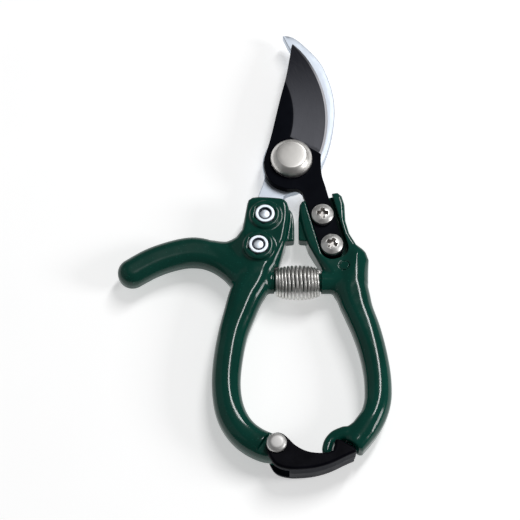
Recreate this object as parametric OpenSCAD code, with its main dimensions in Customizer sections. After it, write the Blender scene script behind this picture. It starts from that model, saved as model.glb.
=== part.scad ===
// Bypass pruning shears lying on their back, closed and latched.
// Z runs along the pivot axis; zero is the face of the pivot nut that the shears rest on.
// Y runs from the catch toward the blade tips, X toward the cutting-blade handle.

/* [Blades] */
// height of the plane in which the two blades slide, mm
shear_z = 9.5; // [9:0.5:12]
// thickness of the cutting blade, mm
blade_t = 3.5; // [2.5:0.1:4]
// thickness of the counter blade, mm
hook_t = 4; // [3:0.1:5]
// free gap between the two sliding faces, mm
blade_gap = 0.1; // [0.05:0.01:0.2]
// radius of the curved cutting edge, mm
edge_r = 56; // [50:1:62]
// width of the ground band beside the cutting edge, mm
grind_w = 15; // [10:0.5:18]

/* [Pivot] */
// radius of the pivot bolt's shank, mm
pivot_r = 4; // [3:0.1:5]
// running clearance of the cutting blade on the bolt, mm
pivot_gap = 0.05; // [0.02:0.01:0.1]
// radius of the polished domed head, mm
dome_r = 8.7; // [8:0.1:10]

/* [Handles] */
// radius of the left grip's rod section, mm
left_r = 6.1; // [5.5:0.1:7]
// radius of the right grip's rod section, mm
right_r = 5.7; // [5:0.1:7]
// half thickness of the casting around the blade tangs, mm
head_h = 6.5; // [6:0.1:7.5]
// height of the round nut bosses over the blade plane, mm
boss_h = 8.5; // [8:0.1:9]
// radius of the round nut bosses, mm
boss_r = 6.5; // [6:0.1:7]
// radius of the posts that carry the spring, mm
post_r = 4.8; // [4.5:0.1:5]

/* [Fasteners] */
// radius of the blade screws' shank, mm
screw_r = 2.45; // [2:0.05:2.5]
// radius of the blade screws' pan head, mm
pan_r = 4.65; // [4:0.05:5]
// width across the flats of the locking nuts, mm
nut_af = 8; // [7:0.5:10]

/* [Spring] */
// outside radius of the spring's end turns, mm
spring_end_r = 5.65; // [5:0.05:6]
// outside radius of the spring's middle turns, mm
spring_mid_r = 7.4; // [6.5:0.05:8]
// radius of the spring wire, mm
wire_r = 0.58; // [0.4:0.02:0.8]
// number of turns
spring_turns = 13; // [10:1:15]

/* [Catch] */
// half width of the catch over both cheeks, mm
catch_h = 8; // [7:0.1:8.5]
// half width of the slot between the cheeks, mm
slot_h = 4.9; // [4.5:0.1:5.5]
// half thickness of the tongue and of the lip that go between the cheeks, mm
tongue_h = 4.6; // [4:0.1:4.7]
// radius of the rivet that the catch turns on, mm
rivet_r = 2; // [1.5:0.1:2.5]

/* [Hidden] */
$fn = 64;
green = [0.03, 0.2, 0.15];
steel = [0.75, 0.76, 0.78];
rivet_at = [-6.8, -131];
screw_pitch = 14.6;
spring_y = -56.6;

// a smooth curve through the points of p, with n steps between each two
function curve(p, n = 4) = concat(
    [for (i = [0 : len(p) - 2], k = [0 : n - 1]) between(p, i, k / n)], [p[len(p) - 1]]);
function between(p, i, t) = let (
    a = p[max(i - 1, 0)], b = p[i], c = p[i + 1], d = p[min(i + 2, len(p) - 1)])
    0.5 * (2 * b + (c - a) * t + (2 * a - 5 * b + 4 * c - d) * t * t
           + (3 * b - a - 3 * c + d) * t * t * t);

// raises a piece drawn about the blade plane to its place
module lift() {
    translate([0, 0, shear_z]) children();
}

// frames of the two tangs: origin at the upper screw, -Y along the tang
module on_cutting_tang() {
    translate([13, -27, 0]) rotate([0, 0, 15.1]) children();
}

module on_counter_tang() {
    translate([-11.4, -28.4, 0]) rotate([0, 0, -10.7]) children();
}

// a plate from z0 to z1 over a list of points
module plate(points, z0, z1) {
    translate([0, 0, z0]) linear_extrude(z1 - z0) polygon(points);
}

// a round disc with a rounded rim, standing for one corner of a casting
module puck(p, r, z0, z1, e = 1.6) {
    translate([p[0], p[1], 0]) rotate_extrude($fn = 32)
        polygon([[0, z0], [r - e, z0], [r - 0.3 * e, z0 + 0.3 * e], [r, z0 + e],
                 [r, z1 - e], [r - 0.3 * e, z1 - 0.3 * e], [r - e, z1], [0, z1]]);
}

module ball(p, r) {
    translate([p[0], p[1], 0]) sphere(r, $fn = 28);
}

// rounded bar along a curve through p; each of sizes is [half width, half thickness] there
module bar(p, sizes, sides = 20) {
    c = curve(p, 3);
    size = curve(sizes, 3);
    last = len(c) - 1;
    rings = [for (i = [0 : last]) let (
        d = c[min(i + 1, last)] - c[max(i - 1, 0)],
        n = [-d[1], d[0]] / norm(d))
        for (k = [0 : sides - 1]) let (a = 360 * k / sides, w = size[i][0] * cos(a))
            [c[i][0] + w * n[0], c[i][1] + w * n[1], size[i][1] * sin(a)]];
    side_faces = [for (i = [0 : last - 1], k = [0 : sides - 1]) let (
        a = i * sides + k, b = i * sides + (k + 1) % sides)
        each [[a, a + sides, b], [b, a + sides, b + sides]]];
    ends = [[for (k = [0 : sides - 1]) k], [for (k = [sides - 1 : -1 : 0]) last * sides + k]];
    polyhedron(rings, concat(side_faces, ends), 8);
}

// six-sided prism of the given width across its flats
module hex(af, z0, z1) {
    translate([0, 0, z0]) rotate([0, 0, 30]) cylinder(r = af / sqrt(3), h = z1 - z0, $fn = 6);
}

module left_handle() {
    color(green) lift() difference() {
        union() {
            difference() {
                left_casting();
                for (s = [-1, 1]) translate([rivet_at[0], rivet_at[1], s * (tongue_h + 5)])
                    cylinder(r = 7.5, h = 10, center = true);
                spring_room(-7.6);
            }
            spring_peg(-16, 13);
            translate([rivet_at[0], rivet_at[1], -tongue_h]) cylinder(r = 6, h = 2 * tongue_h);
            for (y = [0, -screw_pitch]) on_counter_tang()
                translate([0, y, 2]) cylinder(r = boss_r, h = boss_h - 2);
        }
        on_counter_tang() {
            translate([-5.6, -screw_pitch - 6, -20]) cube([11.2, 40, 20]);
            for (y = [0, -screw_pitch]) translate([0, y, 0]) {
                cylinder(r = screw_r + 0.1, h = 20, center = true);
                hex(nut_af + 0.1, 4.2, 20);
            }
        }
        translate([rivet_at[0], rivet_at[1], 0]) cylinder(r = rivet_r + 0.03, h = 30, center = true);
    }
}

// casting of the left handle: grip, thumb lever, head, stop lug and spring post
module left_casting() {
    bar([[-17, -56], [-19.4, -63], [-22, -71], [-24.7, -80.2], [-26.6, -91], [-27.4, -101], [-26.9, -109],
         [-25.4, -115.5], [-22.8, -120.8], [-19.4, -124.9], [-15.2, -128], [-10.8, -130], [-6.8, -131]],
        [[6, 6], [7, 6.5], [6.7, 6.5], [left_r + 0.1, 6.5], [left_r, 6.4], [left_r - 0.1, 6.4],
         [left_r - 0.1, 6.4], [left_r, 6.4], [left_r, 6.4], [left_r, 6.4], [left_r, 6.4], [left_r, 6.4],
         [left_r - 0.2, 6.2]]);
    bar([[-72.2, -55.7], [-71.6, -55.3], [-70.5, -54.5], [-69, -53.4], [-67.2, -52.2], [-60, -47.8],
         [-53.5, -45], [-46.5, -43], [-41, -42.5], [-35.5, -43.3], [-30, -45.5]],
        [[1.1, 1.1], [3.1, 3], [4.7, 4.5], [5.8, 5.5], [6.2, 5.9], [6.3, 6], [6.3, 6], [6.4, 6], [6.4, 6],
         [6.2, 6], [5, 5]]);
    hull() {
        puck([-15.7, -23.4], 3, -head_h, head_h);
        puck([-5.2, -24.2], 3, -head_h, head_h);
        puck([-4.6, -30], 3, -head_h, head_h);
        puck([-16.4, -34], 3, -head_h, head_h);
        puck([-6.3, -43], 3, -head_h, head_h);
        puck([-17.5, -46], 3, -head_h, head_h);
    }
    hull() {
        for (y = [-32.2, -41.6], x = [-0.4, -6]) puck([x, y], 1.4, -5, 5, 0.8);
    }
    hull() {
        ball([-35.5, -43.4], 6.2);
        ball([-23, -46.5], 6.3);
        ball([-15, -43], 6.3);
    }
    hull() {
        ball([-22.5, -47.5], 6.3);
        ball([-20.7, -57.5], 6.3);
        ball([-19.4, -63], 6.3);
        ball([-17.2, -56], 6.3);
        ball([-10.1, -45.4], 6.2);
    }
    translate([-16, spring_y, 0]) rotate([0, 90, 0]) cylinder(r = post_r, h = 8.6);
}

// clear space for the spring's end turns, from x on
module spring_room(x) {
    translate([x, spring_y, 0]) rotate([0, 90, 0]) cylinder(r = 6.4, h = 10);
}

// peg inside the spring's end turns
module spring_peg(x, l) {
    translate([x, spring_y, 0]) rotate([0, 90, 0]) cylinder(r = 3.8, h = l);
}

module right_handle() {
    color(green) lift() difference() {
        union() {
            difference() {
                right_casting();
                spring_room(2.3);
            }
            spring_peg(7.6, 8);
            for (y = [0, -screw_pitch]) on_cutting_tang()
                translate([0, y, -boss_h + 0.5]) cylinder(r = boss_r, h = 6);
        }
        on_cutting_tang() {
            translate([-5.5, -screw_pitch - 6.6, 0]) cube([12.4, 45, 20]);
            for (y = [0, -screw_pitch]) translate([0, y, 0]) {
                cylinder(r = screw_r + 0.1, h = 20, center = true);
                hex(nut_af + 0.1, -20, -3.8);
            }
        }
    }
}

// casting of the right handle: grip, head with its ear, spring post and catch lip
module right_casting() {
    bar([[24.6, -60], [27.4, -69], [30.6, -78.5], [33.1, -88], [34.7, -98], [35, -106], [34, -112.3],
         [31.9, -118], [29.4, -122]],
        [[5, 5], [6.3, 6.3], [right_r + 0.3, 6.4], [right_r, 6.4], [right_r - 0.1, 6.4], [right_r, 6.4],
         [right_r + 0.2, 6.3], [right_r + 0.2, 5.8], [4.6, 4.8]]);
    hull() {
        puck([5.2, -23.6], 2.6, -head_h, 4.6);
        puck([19.4, -19.8], 2.8, -head_h, 4.6);
        puck([19.8, -30], 2.8, -head_h, 4.6);
        puck([5.2, -37.6], 2.6, -head_h, 4.6);
        puck([21.5, -38], 2.8, -head_h, 4.6);
        puck([12, -46], 2.8, -head_h, 4.6);
    }
    hull() {
        puck([8.8, -40.6], 3, -6.2, 5);
        puck([22, -38], 3, -6.2, 5);
        puck([28.6, -46.6], 3, -6, 5.8);
        puck([28.4, -58], 3, -6, 5.8);
        puck([20.4, -60.5], 3, -6, 5.8);
        puck([29.6, -66], 2.6, -5.4, 5.4);
        puck([23.6, -67], 2.6, -5.4, 5.4);
    }
    hull() {
        ball([31.6, -118.4], 5.9);
        puck([20.3, -125.8], 1.8, -5.2, 5.2, 1);
        puck([27, -130.6], 1.8, -5.2, 5.2, 1);
        puck([22, -121.4], 1.8, -5.2, 5.2, 1);
    }
    plate(concat(curve([[24, -119.5], [20.4, -120.6], [16, -123], [13, -126], [11.6, -129.4], [11.4, -132],
                        [12.4, -134.3], [14.2, -134.4], [15.1, -132.6], [15.2, -130], [16, -127.6],
                        [18.4, -125.6]]), [[24, -124]]), -tongue_h, tongue_h);
    translate([12.1, spring_y, 0]) rotate([0, 90, 0]) cylinder(r = post_r, h = 8);
}

module cutting_blade() {
    color([0.06, 0.06, 0.08]) lift() difference() {
        union() {
            plate(concat(
                curve([[4.7, 54.5], [2.6, 57.4], [0.8, 58.7], [-0.1, 55.5], [-2.1, 41.1], [-4.9, 29.2],
                       [-8.9, 10.7], [-11.7, -1.3], [-10.8, -7.3], [-7.9, -11.4], [-2.2, -13.8],
                       [2.6, -13.9], [5, -16.4]]),
                [[6, -20], [15, -20]],
                curve([[14.5, -13], [12.7, -6.2], [12.9, 2.6], [13.6, 6]]),
                [for (a = [-16 : 2 : 34]) [-40 + edge_r * cos(a), 22 + edge_r * sin(a)]]),
                blade_gap, blade_t);
            on_cutting_tang() {
                translate([-5, -screw_pitch, blade_gap]) cube([10, 24, blade_t - blade_gap]);
                translate([0, -screw_pitch, blade_gap]) cylinder(r = 5, h = blade_t - blade_gap);
            }
        }
        translate([0, 0, -1]) cylinder(r = pivot_r + pivot_gap, h = 10);
        on_cutting_tang() for (y = [0, -screw_pitch])
            translate([0, y, -1]) cylinder(r = screw_r + 0.05, h = 10);
        intersection() {
            translate([-40, 22, 0]) rotate_extrude(angle = 100, start = -50, $fn = 128)
                polygon([[edge_r - grind_w, blade_t], [edge_r - 8, 1.7], [edge_r - 1, 0.7],
                         [edge_r + 0.2, 0.4], [edge_r + 4, 0.4], [edge_r + 4, blade_t + 1],
                         [edge_r - grind_w, blade_t + 1]]);
            plate([[-10, 17.2], [30, -8], [30, 70], [-10, 70]], -1, 9);
        }
    }
}

module counter_blade() {
    color([0.82, 0.85, 0.88]) lift() difference() {
        union() {
            plate(concat(
                curve([[-3.1, 64.6], [1.1, 63.6], [6.8, 58.1], [13.5, 49.5], [17.7, 37.8], [19.1, 24.8],
                       [17.5, 12.3], [13.3, 0.2], [11.2, -6], [7, -11], [2.1, -13.5], [-2.2, -15],
                       [-4.4, -19]]),
                [[-6, -24], [-15.4, -24]],
                curve([[-15, -20], [-13.9, -14.7], [-11.6, -7], [-12.4, 0], [-10.6, 7], [-5.6, 11.6],
                       [1, 12.4], [6, 14.4], [9, 20], [9.9, 28], [9, 37], [6, 46], [2, 53.4], [-1.5, 59.7]])),
                -hook_t, 0);
            on_counter_tang() {
                translate([-5.2, -screw_pitch, -hook_t]) cube([10.4, 20, hook_t]);
                translate([0, -screw_pitch, -hook_t]) cylinder(r = 5.2, h = hook_t);
            }
        }
        translate([0, 0, -10]) cylinder(r = pivot_r + 0.02, h = 20);
        on_counter_tang() for (y = [0, -screw_pitch])
            translate([0, y, -10]) cylinder(r = screw_r + 0.05, h = 20);
    }
}

module pivot_bolt() {
    color(steel) lift() {
        translate([0, 0, -shear_z]) cylinder(r = pivot_r, h = shear_z + blade_t + 0.5);
        translate([0, 0, blade_t]) rotate_extrude()
            polygon(concat([[0, 0], [dome_r - 0.3, 0], [dome_r, 0.4], [dome_r, 1.2]],
                curve([[dome_r, 1.2], [dome_r - 0.7, 2.7], [dome_r - 2, 4], [5.6, 4.6]], 5),
                [[0, 4.8]]));
    }
}

module pivot_washer() {
    color(steel) lift() difference() {
        translate([0, 0, -hook_t - 1.4]) cylinder(r = 8, h = 1.4);
        cylinder(r = pivot_r + 0.1, h = 40, center = true);
    }
}

module pivot_nut() {
    color(steel) lift() difference() {
        union() {
            hex(13, -8.2, -hook_t - 1.4);
            translate([0, 0, -shear_z]) cylinder(r = 6, h = 3);
        }
        cylinder(r = pivot_r + 0.04, h = 40, center = true);
        translate([0, 0, -shear_z - 1]) cylinder(r = 4.8, h = 2.1);
    }
}

module pivot_nut_insert() {
    color([0.1, 0.14, 0.25]) lift() difference() {
        translate([0, 0, -shear_z + 0.2]) cylinder(r = 4.8, h = 0.9);
        cylinder(r = pivot_r + 0.01, h = 40, center = true);
    }
}

// pan-head screw with a cross recess: seat at z 0, head up, shank of length l down
module pan_screw(l) {
    translate([0, 0, -l]) cylinder(r = screw_r, h = l + 0.5);
    difference() {
        rotate_extrude() polygon(concat([[0, 0], [pan_r, 0], [pan_r, 0.9]],
            curve([[pan_r, 0.9], [pan_r - 0.5, 2.1], [pan_r - 1.6, 2.9], [1.2, 3.2]], 4), [[0, 3.2]]));
        for (a = [0, 90]) rotate([0, 0, a + 20]) translate([-2.3, -0.5, 1.4]) cube([4.6, 1, 4]);
    }
}

// locking nut: six-sided base on z 0, round collar above it, open for its insert
module lock_nut() {
    difference() {
        union() {
            hex(nut_af, 0, 3.6);
            cylinder(r = 3.9, h = 5);
        }
        translate([0, 0, -1]) cylinder(r = screw_r + 0.04, h = 10);
        translate([0, 0, 3.9]) cylinder(r = 3, h = 2);
    }
}

module lock_insert() {
    difference() {
        translate([0, 0, 3.9]) cylinder(r = 3, h = 0.9);
        cylinder(r = screw_r + 0.01, h = 10);
    }
}

// places a cutting-blade fastener: front side up for screws, back side up for nuts
module at_cutting(y, z, back = false) {
    lift() on_cutting_tang() translate([0, y, z]) rotate([back ? 180 : 0, 0, 0]) children();
}

module at_counter(y, z, back = false) {
    lift() on_counter_tang() translate([0, y, z]) rotate([back ? 180 : 0, 0, 0]) children();
}

module cutting_blade_screw_upper() {
    color(steel) at_cutting(0, blade_t) pan_screw(blade_t + 8.2);
}

module cutting_blade_screw_lower() {
    color(steel) at_cutting(-screw_pitch, blade_t) pan_screw(blade_t + 8.2);
}

module cutting_blade_nut_upper() {
    color(steel) at_cutting(0, -3.8, true) lock_nut();
}

module cutting_blade_nut_lower() {
    color(steel) at_cutting(-screw_pitch, -3.8, true) lock_nut();
}

module cutting_blade_insert_upper() {
    color([0.1, 0.14, 0.25]) at_cutting(0, -3.8, true) lock_insert();
}

module cutting_blade_insert_lower() {
    color([0.1, 0.14, 0.25]) at_cutting(-screw_pitch, -3.8, true) lock_insert();
}

module counter_blade_screw_upper() {
    color(steel) at_counter(0, -hook_t, true) pan_screw(hook_t + 8.3);
}

module counter_blade_screw_lower() {
    color(steel) at_counter(-screw_pitch, -hook_t, true) pan_screw(hook_t + 8.8);
}

module counter_blade_nut_upper() {
    color(steel) at_counter(0, 4.2) lock_nut();
}

module counter_blade_nut_lower() {
    color(steel) at_counter(-screw_pitch, 4.2) lock_nut();
}

module counter_blade_insert_upper() {
    color([0.1, 0.14, 0.25]) at_counter(0, 4.2) lock_insert();
}

module counter_blade_insert_lower() {
    color([0.1, 0.14, 0.25]) at_counter(-screw_pitch, 4.2) lock_insert();
}

// barrel coil along X between the posts, a six-sided wire swept along the coil
module return_spring() {
    x0 = -6.85;
    x1 = 11.5;
    steps = 18 * spring_turns;
    sides = 6;
    ring = function (i) let (
        t = i / steps,
        a = 360 * i / 18,
        e = sin(180 * t),
        r = spring_end_r - wire_r + (spring_mid_r - spring_end_r) * pow(e, 0.8),
        x = x0 + (x1 - x0) * (t - 0.035 * sin(360 * t)))
        [for (k = [0 : sides - 1]) let (c = wire_r * cos(60 * k), s = wire_r * sin(60 * k))
            [x + s, (r + c) * cos(a), (r + c) * sin(a)]];
    rings = [for (i = [0 : steps]) each ring(i)];
    side_faces = [for (i = [0 : steps - 1], k = [0 : sides - 1]) let (
        a = i * sides + k, b = i * sides + (k + 1) % sides)
        each [[a, a + sides, b], [b, a + sides, b + sides]]];
    ends = [[for (k = [0 : sides - 1]) k], [for (k = [sides - 1 : -1 : 0]) steps * sides + k]];
    color(steel) lift() translate([0, spring_y, 0]) polyhedron(rings, concat(side_faces, ends), 6);
}

module catch_outline() {
    polygon(concat(
        curve([[-6.8, -126.4], [-4.4, -127], [-1.7, -129.2], [2.4, -132.7], [7.4, -134.6], [11.5, -135],
               [14.8, -134.4]]),
        curve([[16.1, -132.4], [16.5, -130], [17.4, -129], [18.6, -129.2], [20.7, -130.3], [23.5, -131.6],
               [25, -133], [24.4, -134], [18.7, -136.9], [14, -139], [8.4, -140.8], [3, -141.6],
               [-1.8, -141.4], [-7, -139.9], [-8.3, -138.2], [-10, -136.4], [-11.1, -132], [-10.2, -128.4],
               [-8.6, -126.8]])));
}

module catch() {
    color([0.05, 0.05, 0.06]) lift() difference() {
        union() {
            translate([0, 0, slot_h]) linear_extrude(catch_h - slot_h) catch_outline();
            translate([0, 0, -catch_h]) linear_extrude(catch_h - slot_h) catch_outline();
            plate(concat(
                curve([[-1.6, -139.2], [3, -139.4], [8.4, -138.6], [13, -137.2], [16.9, -135.6]]),
                [[16.9, -133.7], [24, -133.7]],
                curve([[24.4, -134], [18.7, -136.9], [14, -139], [8.4, -140.8], [3, -141.6],
                       [-1.6, -141.4]])), -slot_h - 0.5, slot_h + 0.5);
        }
        translate([rivet_at[0], rivet_at[1], 0]) cylinder(r = rivet_r + 0.06, h = 40, center = true);
    }
}

module catch_rivet() {
    color(steel) lift() translate([rivet_at[0], rivet_at[1], 0]) {
        translate([0, 0, -catch_h - 1.2]) cylinder(r = rivet_r, h = 2 * catch_h + 1.6);
        translate([0, 0, catch_h + 0.1]) rotate_extrude() polygon(concat([[0, 0], [3.9, 0]],
            curve([[4.1, 0.3], [3.7, 1.1], [2.4, 1.7], [0, 1.9]], 5)));
        translate([0, 0, -catch_h - 1.4]) cylinder(r1 = 2.5, r2 = 2.9, h = 0.5);
    }
}

module catch_rivet_washer() {
    color(steel) lift() difference() {
        translate([rivet_at[0], rivet_at[1], -catch_h - 0.9]) cylinder(r = 3.8, h = 0.8);
        translate([rivet_at[0], rivet_at[1], 0]) cylinder(r = rivet_r + 0.03, h = 40, center = true);
    }
}

left_handle();
right_handle();
cutting_blade();
counter_blade();
pivot_bolt();
pivot_washer();
pivot_nut();
pivot_nut_insert();
cutting_blade_screw_upper();
cutting_blade_screw_lower();
cutting_blade_nut_upper();
cutting_blade_nut_lower();
cutting_blade_insert_upper();
cutting_blade_insert_lower();
counter_blade_screw_upper();
counter_blade_screw_lower();
counter_blade_nut_upper();
counter_blade_nut_lower();
counter_blade_insert_upper();
counter_blade_insert_lower();
return_spring();
catch();
catch_rivet();
catch_rivet_washer();
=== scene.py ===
import math

import bpy
import numpy as np
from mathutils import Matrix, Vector
from mathutils.geometry import delaunay_2d_cdt


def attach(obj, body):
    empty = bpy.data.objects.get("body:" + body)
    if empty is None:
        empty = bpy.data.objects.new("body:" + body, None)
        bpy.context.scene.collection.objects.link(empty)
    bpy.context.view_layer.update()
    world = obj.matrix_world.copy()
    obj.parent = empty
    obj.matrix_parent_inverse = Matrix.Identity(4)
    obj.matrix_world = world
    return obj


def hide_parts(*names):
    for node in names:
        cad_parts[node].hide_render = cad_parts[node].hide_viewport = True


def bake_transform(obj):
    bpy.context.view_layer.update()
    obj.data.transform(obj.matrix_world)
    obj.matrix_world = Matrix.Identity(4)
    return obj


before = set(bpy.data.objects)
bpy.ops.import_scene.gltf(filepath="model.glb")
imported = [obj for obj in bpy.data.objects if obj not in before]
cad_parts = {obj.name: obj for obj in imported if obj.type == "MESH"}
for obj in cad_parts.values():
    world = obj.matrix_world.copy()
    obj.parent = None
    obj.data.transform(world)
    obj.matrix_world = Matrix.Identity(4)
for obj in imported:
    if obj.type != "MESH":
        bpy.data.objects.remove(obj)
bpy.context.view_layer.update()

MM = 0.001
BLADE_PLANE = 9.5          # height of the plane where the blades slide, mm
CUTTING_TANG = ((13.0, -27.0), 15.1)     # upper screw and lean of each tang
COUNTER_TANG = ((-11.4, -28.4), -10.7)
SCREW_PITCH = 14.6
SCREW_ROWS = (0.0, -SCREW_PITCH)
RIVET = (-6.8, -131.0)
SPRING_Y = -56.6
EDGE_CENTRE = (-40.0, 22.0)              # centre of the cutting edge's arc
EDGE_RADIUS = 56.0
HOLLOW_RADIUS = 41.05      # where the ground hollow begins, from the arc's centre
BEVEL_RADIUS = 54.9        # where the final bevel begins
SLANT = (0.529, 0.849)     # normal of the line that ends the hollow above the pivot
CUTTING_THICK = 3.5
COUNTER_THICK = 4.0
BOSS_RADIUS = 6.5          # round pads under the screws and nuts
NUT_POCKET = 8.3           # across the flats of the nut pockets
TONGUE = 4.6               # half thickness of the tongue and the lip between the catch's cheeks
SPRING_ROOM = 6.5          # radius left free for the end turns of the spring
SPRING_PEG = 3.8           # radius of the peg inside them
PIVOT_HOLE = 4.1
SCREW_HOLE = 2.6


# ---------------------------------------------------------------- curves and fields

def curve(points, steps=8):
    """Catmull-Rom curve through the rows of points, steps samples to each span."""
    p = np.asarray(points, float)
    a = p[np.maximum(np.arange(len(p) - 1) - 1, 0)]
    b, c = p[:-1], p[1:]
    d = p[np.minimum(np.arange(len(p) - 1) + 2, len(p) - 1)]
    t = (np.arange(steps) / steps)[None, :, None]
    a, b, c, d = (q[:, None, :] for q in (a, b, c, d))
    rows = 0.5 * (2 * b + (c - a) * t + (2 * a - 5 * b + 4 * c - d) * t ** 2
                  + (3 * b - a - 3 * c + d) * t ** 3)
    return np.vstack([rows.reshape(-1, p.shape[1]), p[-1:]])


def at_tang(tang, x, y):
    """Turns row coordinates into a tang's own: origin at its upper screw, -y along it."""
    (ox, oy), lean = tang
    c, s = math.cos(math.radians(lean)), math.sin(math.radians(lean))
    return c * (x - ox) + s * (y - oy), -s * (x - ox) + c * (y - oy)


def from_tang(tang, x, y):
    """The row coordinates of a point given in a tang's own."""
    (ox, oy), lean = tang
    c, s = math.cos(math.radians(lean)), math.sin(math.radians(lean))
    return ox + c * x - s * y, oy + s * x + c * y


def bar(x, y, path, widths):
    """Plan distance to a bar: the distance to its centre line less its half width there."""
    p, w = curve(path, 5), curve(np.asarray(widths, float)[:, None], 5)[:, 0]
    best = np.full(np.broadcast(x, y).shape, 1e9)
    for (ax, ay), (bx, by), wa, wb in zip(p[:-1], p[1:], w[:-1], w[1:]):
        dx, dy = bx - ax, by - ay
        t = np.clip(((x - ax) * dx + (y - ay) * dy) / (dx * dx + dy * dy), 0, 1)
        d = np.hypot(x - ax - t * dx, y - ay - t * dy) - (wa + t * (wb - wa))
        best = np.minimum(best, d)
    return best


def inside_outline(x, y, outline):
    """Signed plan distance to a closed outline: the distance to its nearest side, taken below 0 where a
    line drawn to the right crosses an odd number of sides."""
    p = np.asarray(outline, float)
    near = np.full(np.broadcast(x, y).shape, 1e9)
    odd = np.zeros(near.shape, bool)
    for (ax, ay), (bx, by) in zip(p, np.roll(p, -1, 0)):
        dx, dy = bx - ax, by - ay
        size = dx * dx + dy * dy
        if size < 1e-12:
            continue
        t = np.clip(((x - ax) * dx + (y - ay) * dy) / size, 0, 1)
        near = np.minimum(near, np.hypot(x - ax - t * dx, y - ay - t * dy))
        if dy:
            odd ^= ((ay > y) != (by > y)) & (x < ax + (y - ay) * dx / dy)
    return np.where(odd, -near, near)


def fillet(a, b, k):
    """Union of two fields with a fillet of about k between them (polynomial smooth minimum)."""
    h = np.clip(0.5 + 0.5 * (b - a) / k, 0, 1)
    return b + (a - b) * h - k * h * (1 - h)


def carve(a, b, k=0.3):
    """Field a with field b cut out of it, the new edge rounded by about k."""
    return -fillet(-a, b, k)


def slab(plan, z, low, high, round_):
    """A plan field given thickness from low to high. Both distances are measured from a core smaller by
    round_, and round_ is taken off again, which rounds the rims."""
    dx = plan + round_
    dz = np.abs(z - (low + high) / 2) - (high - low) / 2 + round_
    return np.hypot(np.maximum(dx, 0), np.maximum(dz, 0)) + np.minimum(np.maximum(dx, dz), 0) - round_


def ramp(x, a, b):
    """0 at a, 1 at b, with a smooth start and end: 3t^2 - 2t^3."""
    t = np.clip((x - a) / (b - a), 0, 1)
    return t * t * (3 - 2 * t)


def hexagon(x, y, flats):
    """Plan distance to a regular hexagon of that width across its flats."""
    d = [x * math.cos(a) + y * math.sin(a) for a in np.radians([0, 60, 120])]
    return np.maximum.reduce([np.abs(q) for q in d]) - flats / 2


def skin(field, low, high, pitch, passes=2):
    """The surface where field is 0. Each lattice cell that the surface crosses gets one point, the mean
    of the crossings on its edges; each lattice edge that is crossed joins its four cells into a face.
    The points are then slid onto the surface along the field's slope."""
    ax = [np.arange(low[i], high[i] + pitch, pitch) for i in range(3)]
    v = np.broadcast_to(field(ax[0][:, None, None], ax[1][None, :, None], ax[2][None, None, :]),
                        [len(a) for a in ax])
    inside = v < 0
    shape = np.array(v.shape)
    cells, spots = [], []
    for k in range(3):
        near = [slice(None)] * 3
        far = [slice(None)] * 3
        near[k], far[k] = slice(0, -1), slice(1, None)
        at = np.argwhere(inside[tuple(near)] != inside[tuple(far)])
        step = np.eye(3, dtype=int)[k]
        v0, v1 = v[tuple(at.T)], v[tuple((at + step).T)]
        spot = at + (v0 / (v0 - v1))[:, None] * step
        b, c = np.eye(3, dtype=int)[(k + 1) % 3], np.eye(3, dtype=int)[(k + 2) % 3]
        around = np.stack([at, at - b, at - b - c, at - c], 1)
        flat = np.ravel_multi_index(tuple(np.moveaxis(around, 2, 0)), tuple(shape))
        flat = np.where((v0 < 0)[:, None], flat, flat[:, ::-1])
        cells.append(flat.ravel())
        spots.append(np.repeat(spot, 4, 0))
    cells, spots = np.concatenate(cells), np.concatenate(spots)
    _, where = np.unique(cells, return_inverse=True)
    where = where.ravel()
    count = np.bincount(where)
    p = np.stack([np.bincount(where, spots[:, i]) / count for i in range(3)], 1)
    p = p * pitch + np.array(low)
    quads = where.reshape(-1, 4)
    e = pitch * 0.05
    for _ in range(passes):
        f = field(*p.T)
        g = np.stack([(field(*(p + e * u).T) - f) / e for u in np.eye(3)], 1)
        move = f[:, None] * g / np.maximum((g * g).sum(1), 0.05)[:, None]
        p = p - np.clip(move, -pitch * 0.6, pitch * 0.6)
    return p, quads


# ---------------------------------------------------------------- meshes

def piece(name, points, faces, body, material, slot, nodes=(), smooth=40.0):
    """A mesh object from points in mm about the blade plane; it rides on body and hides nodes."""
    name = name.replace(" ", "_")
    mesh = bpy.data.meshes.new(name)
    p = np.array(points, float)
    p[:, 2] += BLADE_PLANE
    faces = [f if isinstance(f, np.ndarray) else np.asarray(f, int) for f in faces] \
        if isinstance(faces, (list, tuple)) else [faces]
    mesh.from_pydata([tuple(q) for q in (p * MM).tolist()], [],
                     [tuple(f) for group in faces for f in group.tolist()])
    mesh.update()
    mesh.shade_smooth()
    if smooth < 180:
        mesh.set_sharp_from_angle(angle=math.radians(smooth))
    obj = bpy.data.objects.new(name, mesh)
    bpy.context.scene.collection.objects.link(obj)
    obj.data.materials.append(material)
    if body:
        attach(obj, body)
    if nodes:
        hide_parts(*nodes)
    return obj


def grid_faces(rows, columns, wrap=True, start=0):
    """Quads of a grid of points stored row by row; wrap joins the last column to the first."""
    i, j = np.meshgrid(np.arange(rows - 1), np.arange(columns if wrap else columns - 1), indexing="ij")
    a = i * columns + j
    b = i * columns + (j + 1) % columns
    return np.stack([a, b, b + columns, a + columns], -1).reshape(-1, 4) + start


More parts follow.
